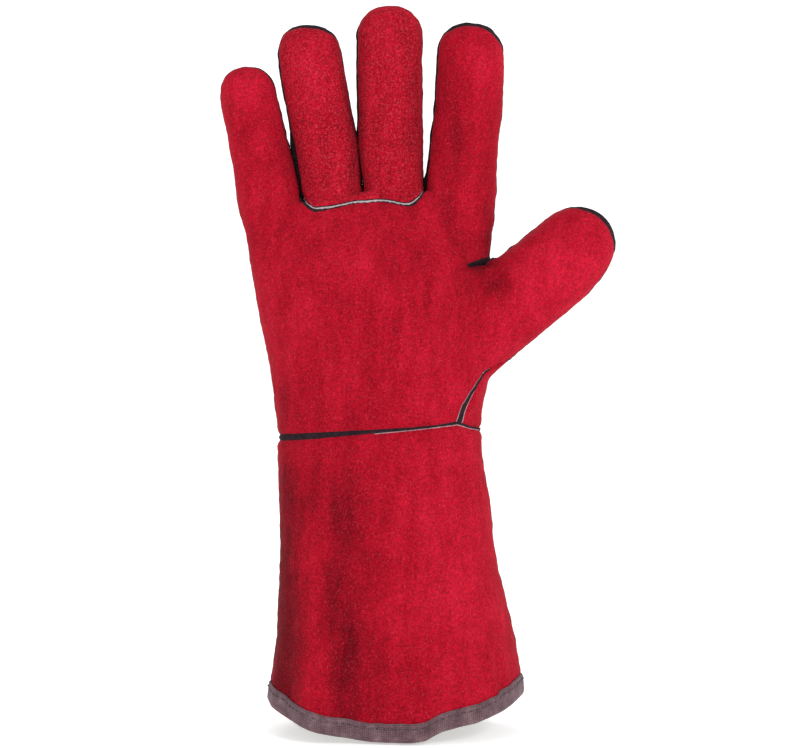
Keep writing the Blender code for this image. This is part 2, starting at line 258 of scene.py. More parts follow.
def read(items, key, kind=float, width=1):
    """One number, or width numbers, of every vertex, edge, face or corner of a mesh."""
    values = np.zeros(len(items) * width, kind)
    items.foreach_get(key, values)
    return values if width == 1 else values.reshape(-1, width)


def coordinates(mesh):
    return read(mesh.vertices, "co", width=3) / MM


def place(mesh, co):
    mesh.vertices.foreach_set("co", (co * MM).ravel())
    mesh.update()


def vertex_normals(mesh):
    return read(mesh.vertices, "normal", width=3)


def relax(mesh, weight, rounds):
    """Moves each vertex towards its neighbours' middle, by a weight."""
    a, b = read(mesh.edges, "vertices", int, 2).T
    ends, others = np.concatenate((a, b)), np.concatenate((b, a))
    co = coordinates(mesh)
    count = np.bincount(ends, minlength=len(co))
    for _ in range(rounds):
        middle = np.column_stack([np.bincount(ends, co[others, k], minlength=len(co))
                                  for k in range(3)])
        middle /= np.maximum(count, 1)[:, None]
        co += (middle - co) * weight
    place(mesh, co)


# ---------- joints and seams
# each joint's place, the way across the digit and the way along it
HINGE = {}
for joint in frame["joints"]:
    turn = np.array(joint["axis"])
    HINGE[joint["name"]] = (np.array(joint["pos_m"]) / MM, turn,
                            np.array((-turn[2], 0.0, turn[0])))
MIDDLE = {n: float((HINGE[n + "_middle_joint"][0] - HINGE[n + "_knuckle"][0])
                   @ HINGE[n + "_knuckle"][2]) for n in DIGITS}
# where each digit's two bends start and end, along it from its knuckle
BENDS = {
    "little": (0.0, 18.0, 19.8, 44.0),
    "ring": (0.0, 27.0, 29.0, 55.0),
    "middle": (0.0, 28.0, 30.0, 60.0),
    "index": (0.0, 27.0, 29.0, 56.0),
    "thumb": (1.0, 21.0, 22.5, 46.0),
}
# the lines between the fingers: x and height of a point, and the lean in degrees
CROTCHES = ((-44.1, 250.0, -12.2), (-15.3, 252.0, -5.6), (12.9, 254.0, 2.6))
# the line between the hand and the thumb: x and height of a point, and its normal
THUMB_CROTCH = (43.5, 218.5)
THUMB_FACING = (0.906, -0.423)


def local(name, p):
    """Distance along a digit and across it, from its knuckle."""
    origin, across, along = HINGE[name + "_knuckle"]
    return (p - origin) @ along, (p - origin) @ across


def ease(value, low, high):
    t = np.clip((value - low) / (high - low), 0.0, 1.0)
    return t * t * (3.0 - 2.0 * t)


def finger_rank(x, z):
    """Which finger's stripe of the hand a point is in: 0 little to 3 index."""
    rank = np.zeros(len(x), int)
    for bx, bz, lean in CROTCHES:
        rank += x > bx + math.tan(math.radians(lean)) * (z - bz)
    return rank


def past_crotch(x, z):
    """Whether a point is on the thumb's side of its crotch."""
    across = (x - THUMB_CROTCH[0]) * THUMB_FACING[0]
    return across + (z - THUMB_CROTCH[1]) * THUMB_FACING[1] > 0.0


def digit_of(p):
    """0 for the hand and cuff, or 1 to 5 for the little finger to the thumb."""
    x, z = p[:, 0], p[:, 2]
    found = np.zeros(len(p), int)
    rank = finger_rank(x, z)
    thumb_side = np.where(z > THUMB_CROTCH[1], past_crotch(x, z), x > 30.0)
    for k, name in enumerate(FINGERS):
        along = local(name, p)[0]
        found[(rank == k) & (z > 238.0) & ~thumb_side & (along > BENDS[name][0] - 1.5)] = k + 1
    along = local("thumb", p)[0]
    found[thumb_side & (along > BENDS["thumb"][0] - 1.5) & (z > 150.0)] = 5
    return found


def path_shift(name, along):
    rows = smooth_rows(PATHS[name], 6)
    points = np.column_stack((rows[:, 0], np.zeros(len(rows)), rows[:, 1]))
    return np.interp(along, local(name, points)[0], rows[:, 4])


def path_end(name):
    row = PATHS[name][-1]
    return local(name, np.array([(row[0], 0.0, row[1])]))[0][0]


# height, how far in front the seam below the thumb runs, and its half width
THUMB_SEAM = np.array([
    (139.0, -22.6, 0.75), (148.0, -21.6, 0.95), (153.0, -20.4, 1.0), (159.0, -18.4, 0.80),
    (164.0, -16.2, 0.50), (168.0, -13.4, 0.16), (172.0, -9.6, 0.07), (176.0, -5.0, 0.08),
    (182.0, -0.5, 0.5), (190.0, 1.6, 0.6),
])
# how far behind the digit's middle its seam runs, on the left and right sides
DIGIT_SIDES = {"little": (1.4, 0.8), "ring": (-2.2, 1.6), "middle": (-2.2, 1.6),
               "index": (-2.2, 1.6), "thumb": (0.6, 2.2)}
# the seam over each tip: distance across, how far behind the middle, half width
DIGIT_TIPS = {
    "little": [(-9.0, -0.5, 0.7), (9.0, -0.5, 0.7)],
    "ring": [(-10.5, 0.6, 0.8), (-6.0, -2.2, 1.7), (2.0, -3.4, 2.3), (9.0, -3.0, 2.3),
             (13.5, 0.4, 0.9)],
    "middle": [(-9.0, 1.6, 0.7), (9.0, 1.6, 0.7)],
    "index": [(-13.0, 0.2, 0.8), (-9.0, -2.4, 2.0), (0.0, -3.4, 2.2), (9.0, -3.4, 2.4),
              (14.0, -2.6, 2.2)],
    "thumb": [(-14.0, -2.8, 2.2), (-9.0, -3.7, 2.6), (0.0, -3.6, 2.6), (6.0, -2.8, 2.2),
              (10.0, -0.8, 1.4), (13.5, 2.2, 0.7)],
}
SIDE_HALF = 0.6


def at_tip(name, u):
    rows = np.array(DIGIT_TIPS[name])
    return np.interp(u, rows[:, 0], rows[:, 1]), np.interp(u, rows[:, 0], rows[:, 2])


def digit_seam(name, p, turn):
    """Points' places along and across a digit, its seam's y there and half width."""
    s, u = local(name, p)
    left, right = DIGIT_SIDES[name]
    tip, tip_half = at_tip(name, u)
    ends = ease(s, path_end(name) - 15.0, path_end(name) - 6.0)
    seam = left + (right - left) * ease(u, -turn, turn)
    seam = seam + (tip - seam) * ends + path_shift(name, s)
    return s, u, seam, SIDE_HALF + (tip_half - SIDE_HALF) * ends


def side_seam(p):
    """Signed distance behind the side seams, and the half width of their welt."""
    x, y, z = p.T
    ys = np.full(len(p), 1.5)
    half = np.full(len(p), SIDE_HALF)
    rank = finger_rank(x, z)
    for k, name in enumerate(FINGERS):
        at = (rank == k) & (z > 236.0)
        s, u, seam, half[at] = digit_seam(name, p[at], 9.0)
        ys[at] += (seam - ys[at]) * ease(z[at], 238.0, 248.0)
        if name in ("ring", "index"):
            half[at] += 0.6 * ease(s, 0.0, 4.0) * (1.0 - ease(s, 26.0, 34.0)) * (u < 0.0)
    right = (z > wrist_height(p)) & (x > 8.0)
    beyond = past_crotch(x, z)
    index_side = right & (z < 236.0) & ~beyond & (z > THUMB_CROTCH[1])
    ys[index_side] = 0.5 + ease(z[index_side], 220.0, 233.0)
    under = right & ~index_side & ~((z > 236.0) & ~beyond)
    low_ys = np.interp(z[under], THUMB_SEAM[:, 0], THUMB_SEAM[:, 1])
    low_half = np.interp(z[under], THUMB_SEAM[:, 0], THUMB_SEAM[:, 2])
    s, _, seam, thick = digit_seam("thumb", p[under], 11.0)
    joined = ease(s, -26.0, -14.0)
    ys[under] = low_ys + (seam - low_ys) * joined
    half[under] = low_half + (thick - low_half) * joined
    return y - ys, half


# the wrist seam on the palm side: x, height, half width
WRIST = np.array([(-62.0, 137.2, 1.6), (-40.0, 138.8, 1.5), (-26.0, 139.9, 1.2),
                  (-8.0, 141.2, 0.85), (8.0, 142.4, 0.6), (20.0, 143.6, 0.5),
                  (29.0, 144.9, 0.75), (35.0, 142.8, 0.5), (46.0, 140.6, 0.5)])


def wrist_height(p):
    front = np.interp(p[:, 0], WRIST[:, 0], WRIST[:, 1])
    back = 137.4 + (p[:, 0] + 56.0) * 0.036
    return np.where(p[:, 1] < 0.0, front, back)


def wrist_seam(p):
    half = np.interp(p[:, 0], WRIST[:, 0], WRIST[:, 2])
    half = np.where(p[:, 1] < 0.0, half, 0.7)
    return p[:, 2] - wrist_height(p), half


# the seam at the base of the ring and middle fingers: x, height and half width of its
# dark gap, which has a pale raw edge and then a thin dark line of painted shadow above it
SET_IN = [(-46.4, 257.0, 0.9), (-44.6, 253.4, 1.0), (-43.0, 249.4, 1.15), (-40.6, 246.6, 1.2),
          (-37.5, 245.3, 1.0), (-30.9, 245.8, 0.55), (-24.0, 247.2, 0.35), (-18.7, 248.1, 0.3),
          (-7.5, 248.6, 0.3), (-2.0, 247.9, 0.32), (2.8, 246.8, 0.4), (6.0, 246.8, 0.7),
          (8.4, 247.8, 0.9), (11.2, 250.8, 0.8), (13.1, 254.4, 0.5), (15.0, 258.6, 0.4)]
# the gap at the thumb's crotch, whose dark strip is partly a welt and partly painted shade in the
# fold: x, height, half width
CROTCH_GAP = [(33.8, 219.0, 0.1), (36.2, 219.1, 1.1), (39.0, 219.9, 1.55), (42.0, 221.2, 1.35),
              (44.2, 222.4, 0.8), (47.0, 223.4, 0.4)]
PALE_EDGE = 0.62
# how wide the thin dark line of painted shadow above the pale edge is
PAINTED_SHADOW_LINE = 0.42


def from_line(rows, p):
    """Signed distance above a line drawn on the front, and its half width there."""
    rows = smooth_rows(rows, 4)
    best = np.full(len(p), 1e9)
    signed = np.zeros(len(p))
    half = np.zeros(len(p))
    for (x0, z0, h0), (x1, z1, h1) in zip(rows, rows[1:]):
        run = np.array((x1 - x0, z1 - z0))
        t = np.clip(((p[:, 0] - x0) * run[0] + (p[:, 2] - z0) * run[1]) / (run @ run), 0.0, 1.0)
        dx, dz = p[:, 0] - x0 - t * run[0], p[:, 2] - z0 - t * run[1]
        away = np.hypot(dx, dz)
        closer = away < best
        best[closer] = away[closer]
        side = np.sign(run[0] * dz - run[1] * dx)
        signed[closer] = (away * side)[closer]
        half[closer] = (h0 + (h1 - h0) * t)[closer]
    return signed, half


def set_in_seam(p):
    return from_line(SET_IN, p)


def pale_edge(p):
    """Distance above the finger seam's gap, and how wide its pale edge is there."""
    distance, _ = set_in_seam(p)
    ends = ease(p[:, 0], -43.8, -39.0) * (1.0 - ease(p[:, 0], 9.0, 12.6))
    return distance, PALE_EDGE * (0.04 + 0.96 * ends)


def crotch_seam(p):
    return from_line(CROTCH_GAP, p)


# x and height of the hem on the palm side, where it rises in steps to the thumb side
HEM = np.array([(-63.0, 14.6), (-60.0, 13.0), (-50.0, 7.6), (-29.0, 3.0), (-20.0, 1.2),
                (-12.0, 0.3), (7.0, 0.2), (14.0, 1.1), (18.0, 3.4), (22.0, 5.2), (30.0, 7.0),
                (38.0, 8.3), (45.0, 10.6), (53.0, 12.9), (60.0, 16.4), (63.0, 17.6)])


def hem_height(p):
    across = np.clip((p[:, 0] - CUFF_MIDDLE) / 59.8, -1.0, 1.0)
    back = 0.3 + 13.2 * across ** 2 + 0.03 * p[:, 0]
    front = np.interp(p[:, 0], HEM[:, 0], HEM[:, 1])
    return back + (front - back) * ease(-p[:, 1], -9.0, 9.0)


# ---------- cutting the skin
def cut(work, level, chosen=None, keep_above=False):
    """Splits the chosen faces of a bmesh where level(points) is 0."""
    keep = work.verts.layers.float_vector.get("kept")
    points = np.array([v.co for v in work.verts]) / MM
    value = level(points) * MM
    for v, f in zip(work.verts, value):
        v[keep] = v.co
        v.co.y = f
    if chosen is None:
        faces = list(work.faces)
    else:
        middles = np.array([sum((v[keep] for v in f.verts), Vector()) / len(f.verts)
                            for f in work.faces]) / MM
        faces = [f for f, yes in zip(work.faces, chosen(middles)) if yes]
    edges = {e for f in faces for e in f.edges}
    verts = {v for f in faces for v in f.verts}
    bmesh.ops.bisect_plane(work, geom=faces + list(edges) + list(verts), dist=1e-7,
                           plane_co=(0, 0, 0), plane_no=(0, 1, 0),
                           clear_inner=keep_above)
    for v in work.verts:
        v.co = v[keep]


def beside(seam, step, shift=0.0):
    """0 where a point is step half widths and a shift away from a seam."""
    def level(points):
        distance, half = seam(points)
        return distance - step * half - shift
    return level


def in_box(p, x, y, z):
    """Whether points are between two limits in x and in z, and further forward than y."""
    return ((p[:, 0] > x[0]) & (p[:, 0] < x[1]) & (p[:, 1] < y)
            & (p[:, 2] > z[0]) & (p[:, 2] < z[1]))


def before_sides(p):
    distance, half = side_seam(p)
    return distance < -half


def on_set_in(p):
    return before_sides(p) & in_box(p, (-45.6, 14.2), -1.0, (240.0, 256.5))


def on_crotch(p):
    return before_sides(p) & in_box(p, (33.2, 46.5), -1.0, (214.0, 227.0))


def on_thumb_seam(p):
    return in_box(p, (20.0, 120.0), -6.0, (0.0, 174.0)) & (p[:, 2] > wrist_height(p))


def on_wrist_edge(p):
    return in_box(p, (-9.0, 120.0), -3.0, (132.0, 150.0))


def cut_skin(mesh):
    """Cuts the skin off at the hem, and puts edges along every seam in it."""
    work = bmesh.new()
    work.from_mesh(mesh)
    work.verts.layers.float_vector.new("kept")
    cut(work, lambda p: p[:, 2] - hem_height(p), keep_above=True)
    both = (-1.0, 0.0, 1.0)
    for seam, steps, chosen in ((wrist_seam, both, None), (side_seam, both, None),
                                (set_in_seam, both[:2], on_set_in)):
        for step in steps:
            cut(work, beside(seam, step), chosen)
    for step, shift in ((0.5, 0.0), (1.0, 0.0), (1.0, PAINTED_SHADOW_LINE), (1.0, PAINTED_SHADOW_LINE + 0.8)):
        cut(work, beside(pale_edge, step, shift), on_set_in)
    for step in both:
        cut(work, beside(crotch_seam, step), on_crotch)
    for way in (-1.0, 1.0):
        cut(work, beside(side_seam, way, way * RAW_EDGE), on_thumb_seam)
    cut(work, beside(wrist_seam, -1.0, -WRIST_EDGE), on_wrist_edge)
    bmesh.ops.remove_doubles(work, verts=work.verts, dist=0.00002)
    work.to_mesh(mesh)
    work.free()


# ---------- folds and swellings
# x and z of a crease's ends, its depth, its half width
CREASES = [
    ((46.0, 219.5), (33.0, 217.6), 2.6, 1.5),
    ((34.0, 217.8), (22.0, 214.0), 1.0, 2.4),
    ((46.5, 214.5), (53.0, 203.0), 2.0, 3.4),
    ((50.0, 17.0), (46.0, 40.0), 0.8, 2.2),
    ((50.0, 251.0), (37.0, 238.0), 0.7, 3.0),
    ((27.0, 226.0), (45.0, 228.0), 0.9, 4.0),
    ((-8.0, 226.0), (24.0, 196.0), 0.5, 5.0),
    ((-72.0, 246.0), (-60.0, 241.0), 0.5, 2.6),
    ((33.0, 205.0), (26.0, 170.0), 0.6, 5.0),
    ((-40.0, 244.0), (-31.0, 241.0), 0.8, 2.2),
    ((2.0, 243.5), (11.0, 246.0), 0.7, 2.0),
    ((-54.0, 262.0), (-70.0, 266.0), 0.4, 2.4),
    ((-22.0, 262.0), (-36.0, 264.0), 0.4, 2.6),
    ((20.0, 268.0), (40.0, 262.0), 0.5, 3.0),
    ((-50.0, 128.0), (-20.0, 122.0), 0.5, 3.5),
    ((20.0, 128.0), (38.0, 120.0), 0.5, 3.5),
]


# the leather's unevenness: how much, and over what length
UNEVEN = [(0.9, 34.0), (0.45, 13.0), (0.22, 5.5), (0.12, 2.8)]


def wave_noise(points, scale, seed):
    shift = Vector((seed * 3.7, seed * 1.9, seed * 5.3))
    return np.array([noise.noise(Vector(p) / scale + shift) for p in points])


def swelling(p, normals):
    """How far each point of the skin moves out, in mm."""
    x, y, z = p.T
    out = np.zeros(len(p))
    for seed, (amount, scale) in enumerate(UNEVEN, 1):
        out += amount * wave_noise(p, scale, seed)
    front = ease(-normals[:, 1], -0.1, 0.35)
    for (x0, z0), (x1, z1), depth, wide in CREASES:
        run = np.array((x1 - x0, z1 - z0))
        t = np.clip(((x - x0) * run[0] + (z - z0) * run[1]) / (run @ run), 0.0, 1.0)
        wander = 0.25 * wide * np.sin(t * 9.0 + x0)
        away = np.hypot(x - x0 - t * run[0], z - z0 - t * run[1]) + wander * 0.3
        fade = np.sin(np.clip(t, 0.03, 0.97) * math.pi) ** 0.6
        out -= depth * front * fade * np.exp(-(away / wide) ** 2)
        out += 0.45 * depth * front * fade * np.exp(-((away - 2.0 * wide) / (1.2 * wide)) ** 2)
    # wrinkles over the joints on the back
    for name in DIGITS:
        s, u = local(name, p)
        for centre, amount in ((MIDDLE[name], 0.5), (4.0, 0.35)):
            near = np.exp(-((s - centre) / 6.0) ** 2 - (u / 11.0) ** 4)
            near *= ease(normals[:, 1], 0.2, 0.8)
            ripple = np.cos(TAU * (s - centre) / 4.2 + 0.7 * np.sin(u / 4.0))
            out += amount * near * ripple
    # the flared cuff's flutes, deepest at the hem
    turn = np.arctan2(y / 45.0, (x - CUFF_MIDDLE) / 60.0)
    low = np.clip(1.0 - (z - 4.0) / 118.0, 0.0, 1.0) ** 1.3
    flutes = 1.1 * np.sin(5.0 * turn + 0.5 + z / 90.0) + 0.7 * np.sin(9.0 * turn + 2.0 - z / 70.0)
    out += low * flutes * (0.25 + 0.75 * np.sin(turn) ** 2)
    facing = ease(-y, 6.0, 22.0)
    for amount, at, wide in ((-2.6, z * 0.03 - 21.0, 7.5), (1.4, -36.0, 7.0), (-1.8, -50.0, 5.0)):
        out += amount * low * facing * np.exp(-((x - at) / wide) ** 2)
    return out


# where a finger's welt stands out and closes the gap on its left: heights, how far
GAP_WELTS = [("ring", (250.0, 256.0, 262.0, 270.0, 276.0, 279.0, 283.0),
              (0.3, 0.6, 1.0, 1.6, 1.7, 1.0, 0.0)),
             ("index", (250.0, 253.0, 257.0, 260.0, 263.0), (0.6, 1.2, 1.4, 1.2, 0.0))]


def seam_profile(distance, half, depth, proud):
    """A groove with a round shoulder on each side and a welt standing in it."""
    past = np.maximum(np.abs(distance) - half, 0.0)
    out = -depth * np.exp(-(past / 1.3) ** 2)
    out += 0.3 * depth * np.exp(-((past - 3.0) / 1.6) ** 2)
    inside = np.abs(distance) < half
    rise = (depth + proud) * (1.0 - np.abs(distance) / half)
    return np.where(inside, -depth + rise, out)


skin = glove_skin()
relax(skin, 0.5, 8)
place(skin, coordinates(skin) + vertex_normals(skin) * SHRINK)
relax(skin, 0.5, 2)
cut_skin(skin)

rest = coordinates(skin)
normals = vertex_normals(skin)
moved = swelling(rest, normals)
side, side_half = side_seam(rest)
wrist, wrist_half = wrist_seam(rest)
beside_wrist = ease(np.abs(wrist), 0.5, 4.0)
out = seam_profile(side, side_half, 0.7, 0.35) * beside_wrist
wrist_out = seam_profile(wrist, wrist_half, 0.9, -0.1)
set_in, set_in_half = set_in_seam(rest)
on_front = on_set_in(rest) | in_box(rest, (-44.6, 13.6), -6.0, (236.0, 262.0))
gap = (set_in < 0.0) & (set_in > -set_in_half)
pale_wide = pale_edge(rest)[1]
edge = (set_in >= 0.0) & (set_in <= pale_wide)
below = np.exp(-((set_in + set_in_half) / 1.2) ** 2)
set_out = np.where(set_in < 0.0, -0.8 * np.where(gap, 1.0, below), 0.0)
crown = np.sin(np.clip(set_in / pale_wide, 0, 1) * math.pi)
set_out += np.where(edge, -0.15 + 0.5 * crown, 0.0)
over = set_in - pale_wide
set_out += np.where(over > 0.0, 0.75 * ease(over, 0.0, 1.6) * np.exp(-(over / 7.0) ** 2)
                    - 0.35 * np.exp(-((over - 0.16) / 0.3) ** 2), 0.0)
set_out = np.where(on_front, set_out, 0.0)
fold, fold_half = crotch_seam(rest)
set_out += np.where(on_crotch(rest), seam_profile(fold, fold_half, 1.0, -0.5), 0.0)
for name, heights, stands in GAP_WELTS:
    s_at, u_at = local(name, rest)
    fin = np.interp(rest[:, 2], heights, stands) * np.clip(1.0 - np.abs(side) / side_half, 0, 1)
    out += fin * ((digit_of(rest) == DIGITS.index(name) + 1) & (u_at < 0.0) & (s_at > 0.0))
near_seam = np.exp(-np.maximum(np.abs(side) - side_half, 0.0) / 3.5)
near_seam = np.maximum(near_seam, np.exp(-np.abs(wrist) / 4.0))
near_seam = np.maximum(near_seam, np.where(on_front, np.exp(-np.abs(set_in) / 4.0), 0.0))
out += 0.32 * near_seam * wave_noise(rest, 3.6, 9)
moved = np.maximum(moved + out + wrist_out + set_out, -DEEPEST)
final = rest + normals * moved[:, None]
place(skin, final)
shared = vertex_normals(skin)
inner = rest - normals * LINING_DEPTH

# ---------- sorting the faces
corner_count = read(skin.polygons, "loop_total", int)
corner_verts = read(skin.loops, "vertex_index", int)
face_of_corner = np.repeat(np.arange(len(corner_count)), corner_count)
centres = np.column_stack([np.bincount(face_of_corner, rest[corner_verts, k]) / corner_count
                           for k in range(3)])
starts = np.concatenate(([0], np.cumsum(corner_count)))

side_c, side_half_c = side_seam(centres)
wrist_c, wrist_half_c = wrist_seam(centres)
set_c, set_half_c = set_in_seam(centres)
FRONT, WELT, BACK = 0, 1, 2
THINNEST = 0.12       # a side welt of less than this half width isn't shown
layer = np.where(side_c < 0.0, FRONT, BACK)
has_welt = side_half_c > THINNEST
layer[has_welt & (np.abs(side_c) < side_half_c)] = WELT
digit = digit_of(centres)
upper = np.zeros(len(centres), bool)
for k, name in enumerate(DIGITS):
    split = (BENDS[name][1] + BENDS[name][2]) / 2.0
    upper |= (digit == k + 1) & (local(name, centres)[0] > split)
on_wrist = np.abs(wrist_c) < wrist_half_c
on_cuff = wrist_c <= -wrist_half_c
near_set = on_set_in(centres)
in_set = near_set & (set_c > -set_half_c) & (set_c < 0.0)
above_edge = set_c - pale_edge(centres)[1]
set_edge = near_set & (set_c >= 0.0) & (above_edge < 0.0)
# a thin band above the pale edge is painted dark, as the shadow under the lapped leather
in_set |= near_set & (above_edge > 0.0) & (above_edge < PAINTED_SHADOW_LINE)
fold_c, fold_half_c = crotch_seam(centres)
# the dark strip in the crotch's fold: partly a welt, partly painted shade
in_fold = on_crotch(centres) & (np.abs(fold_c) < fold_half_c)
beyond_welt = np.abs(side_c) - side_half_c
thumb_edges = (on_thumb_seam(centres) & has_welt & ~on_wrist
               & (beyond_welt > 0.0) & (beyond_welt < RAW_EDGE))
below_wrist = -wrist_c - wrist_half_c
wrist_edge = on_wrist_edge(centres) & (below_wrist > 0.0) & (below_wrist < WRIST_EDGE)
hand_part = digit == 0
in_palm = hand_part & ~on_cuff & ~on_wrist

# which faces each outside piece has, where a later piece takes from an earlier one
OUTSIDE = {
    "cuff_front_leather": on_cuff & (layer == FRONT),
    "cuff_back_leather": on_cuff & (layer == BACK),
    "palm_leather": in_palm & (layer == FRONT),
    "hand_back_leather": in_palm & (layer == BACK),
    "cuff_side_welts": on_cuff & (layer == WELT),
    "hand_side_welts": in_palm & (layer == WELT),
}
PARTS = ("lower", "upper")
for k, name in enumerate(DIGITS):
    for level, part in enumerate(PARTS):
        for which, face in enumerate(("front", "welt", "back")):
            OUTSIDE["_".join((name, face, part))] = (
                (digit == k + 1) & (layer == which) & (upper == bool(level)))
OUTSIDE.update({"wrist_piping": on_wrist, "finger_seam_gap": in_set,
                "thumb_crotch_welt": in_fold, "finger_seam_edge": set_edge,
                "thumb_seam_edges": thumb_edges, "wrist_seam_edge": wrist_edge})
TITLES = list(OUTSIDE)
owner = np.zeros(len(centres), int)
for k, chosen in enumerate(OUTSIDE.values()):
    owner[chosen] = k


# a patch with fewer faces than this joins another piece
LEAST_NARROW, LEAST_LEATHER = 25, 60


def merge_specks(owner):
    """Give a patch of very few faces to the leather that it borders most."""
    edge_of_corner = read(skin.loops, "edge_index", int)
    order = np.argsort(edge_of_corner, kind="stable")
    pair = edge_of_corner[order][1:] == edge_of_corner[order][:-1]
    a = face_of_corner[order][:-1][pair]
    b = face_of_corner[order][1:][pair]
    inside = owner[a] == owner[b]
    patch = np.arange(len(owner))
    while True:
        low = np.minimum(patch[a[inside]], patch[b[inside]])
        spread = patch.copy()
        np.minimum.at(spread, a[inside], low)
        np.minimum.at(spread, b[inside], low)
        spread = spread[spread]
        if (spread == patch).all():
            break
        patch = spread
    narrow = np.array([any(word in title for word in ("welt", "edge", "gap"))
                       for title in TITLES])
    least = np.where(narrow, LEAST_NARROW, LEAST_LEATHER)[owner]
    small = np.bincount(patch, minlength=len(owner))[patch] < least
    merged = owner.copy()
    for speck in np.unique(patch[small]):
        mine = patch == speck
        border = mine[a] != mine[b]
        beyond = np.where(mine[a[border]], b[border], a[border])
        beyond = beyond[~small[beyond]]
        if (~narrow[owner[beyond]]).any():
            beyond = beyond[~narrow[owner[beyond]]]
        if len(beyond):
            merged[mine] = np.bincount(owner[beyond]).argmax()
    return merged


owner = merge_specks(owner)


def painted_shading_patch(p, x, z, wide, tall, amount):
    """A soft patch of painted shade or painted highlight on the front, darker or lighter by an
    amount.
    """
    patch = np.exp(-((p[:, 0] - x) / wide) ** 2 - ((p[:, 2] - z) / tall) ** 2)
    return amount * patch * ease(-p[:, 1], -6.0, 6.0)


# painted shade and highlights on the front, darker in the cuff's folds, at the thumb's crotch and
# between the fingers, lighter on the thumb, the cuff's right and the fingertips: x, height, width
# and height of a patch, and how much darker or lighter it is
PAINTED_SHADING_PATCHES = [(-54.0, 52.0, 10.0, 66.0, -0.62), (-23.0, 48.0, 9.0, 62.0, -0.42),
         (-37.0, 50.0, 5.0, 50.0, 0.06), (28.0, 66.0, 20.0, 60.0, 0.20),
         (-40.0, 112.0, 26.0, 18.0, -0.18), (8.0, 18.0, 24.0, 24.0, -0.16),
         (76.0, 217.0, 30.0, 28.0, 0.24), (48.0, 209.5, 7.0, 7.5, -0.36),
         (40.0, 216.5, 6.0, 4.0, -0.22), (45.0, 234.0, 4.5, 14.0, -0.34),
         (33.0, 196.0, 4.0, 28.0, -0.16),
         (-20.0, 222.0, 22.0, 14.0, 0.10), (6.0, 218.0, 12.0, 10.0, -0.16),
         (-52.0, 190.0, 14.0, 30.0, 0.06), (30.0, 160.0, 14.0, 22.0, 0.08),
         (-58.0, 150.0, 10.0, 12.0, -0.12), (46.0, 175.0, 12.0, 10.0, 0.12),
         (-20.0, 290.0, 5.0, 40.0, -0.30), (9.0, 285.0, 6.0, 36.0, -0.22),
         (26.0, 275.0, 6.0, 34.0, -0.20), (-50.0, 270.0, 5.0, 24.0, -0.18),
         (-71.0, 304.0, 12.0, 12.0, 0.20), (-43.0, 316.0, 10.0, 20.0, 0.16),
         (-8.0, 318.0, 9.0, 24.0, 0.12), (40.0, 314.0, 10.0, 18.0, 0.14)]
# the painted shade and highlights, summed into one number for each vertex
painted_shading = sum(painted_shading_patch(rest, *row) for row in PAINTED_SHADING_PATCHES)


def piece(name, paint, chosen=None):
    """A new object from some faces of the skin, keeping the skin's own normals.

    The faces are the outside piece's own, or the inner layer of the chosen ones.
    """
    inside = chosen is not None
    picked = np.flatnonzero(chosen if inside else owner == TITLES.index(name))
    loops = [corner_verts[starts[f]:starts[f + 1]] for f in picked]
    used, back = np.unique(np.concatenate(loops), return_inverse=True)
    faces, at = [], 0
    for loop in loops:
        ring = back[at:at + len(loop)].tolist()
        faces.append(ring[::-1] if inside else ring)
        at += len(loop)
    mesh = mesh_from(name, inner[used] if inside else final[used], faces)
    facing = -normals[used] if inside else shared[used]
    mesh.normals_split_custom_set_from_vertices(facing.tolist())
    # each vertex carries its rest place and its painted shade and highlights
    for title, kind, key, values in (("rest", "FLOAT_VECTOR", "vector", rest[used] * MM),
                                     ("painted_shading", "FLOAT", "value", painted_shading[used])):
        layer = mesh.attributes.new(title, kind, "POINT")
        layer.data.foreach_set(key, values.ravel().astype(np.float32))
    mesh.materials.append(paint)
    return add_object(name, mesh)


def bend_along(made):
    """Bakes a digit piece's placement into its mesh; the piece is not bent."""
    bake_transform(made)


# ---------- materials
def material(name):
    made = bpy.data.materials.new(name)
    made.use_nodes = True
    return made, made.node_tree, made.node_tree.nodes["Principled BSDF"]


def plug(tree, socket, value):
    """Links an output to a socket, or sets a plain value on it."""
    if hasattr(value, "is_linked"):
        tree.links.new(value, socket)
    else:
        socket.default_value = value


def plug_all(tree, shader, values):
    for key, value in values.items():
        plug(tree, shader.inputs[key], value)


def node(tree, kind, **values):
    made = tree.nodes.new(kind)
    for key, value in values.items():
        if key in made.inputs:
            plug(tree, made.inputs[key], value)
        else:
            setattr(made, key, value)
    return made


def ramp(tree, source, stops):
    made = node(tree, "ShaderNodeValToRGB", Fac=source)
    while len(made.color_ramp.elements) < len(stops):
        made.color_ramp.elements.new(0.5)
    for element, (place_at, colour) in zip(made.color_ramp.elements, stops):
        element.position = place_at
        element.color = colour
    return made.outputs["Color"]


def mix(tree, factor, a, b, blend_type="MIX"):
    made = node(tree, "ShaderNodeMix", data_type="RGBA", blend_type=blend_type)
    for k, value in ((0, factor), (6, a), (7, b)):
        plug(tree, made.inputs[k], value)
    return made.outputs[2]


def noise_at(tree, vector, scale, detail, rough):
    return node(tree, "ShaderNodeTexNoise", Vector=vector, Scale=scale, Detail=detail,
                Roughness=rough).outputs["Fac"]


def bands_at(tree, vector, direction, scale, distortion):
    return node(tree, "ShaderNodeTexWave", wave_type="BANDS", bands_direction=direction,
                Vector=vector, Scale=scale, Distortion=distortion).outputs["Fac"]


def attribute(tree, name, output):
    return node(tree, "ShaderNodeAttribute", attribute_name=name).outputs[output]


def bump(tree, height, strength, distance, **before):
    return node(tree, "ShaderNodeBump", Height=height, Strength=strength, Distance=distance,
                **before).outputs["Normal"]


def grey(value):
    return (value, value, value, 1.0)


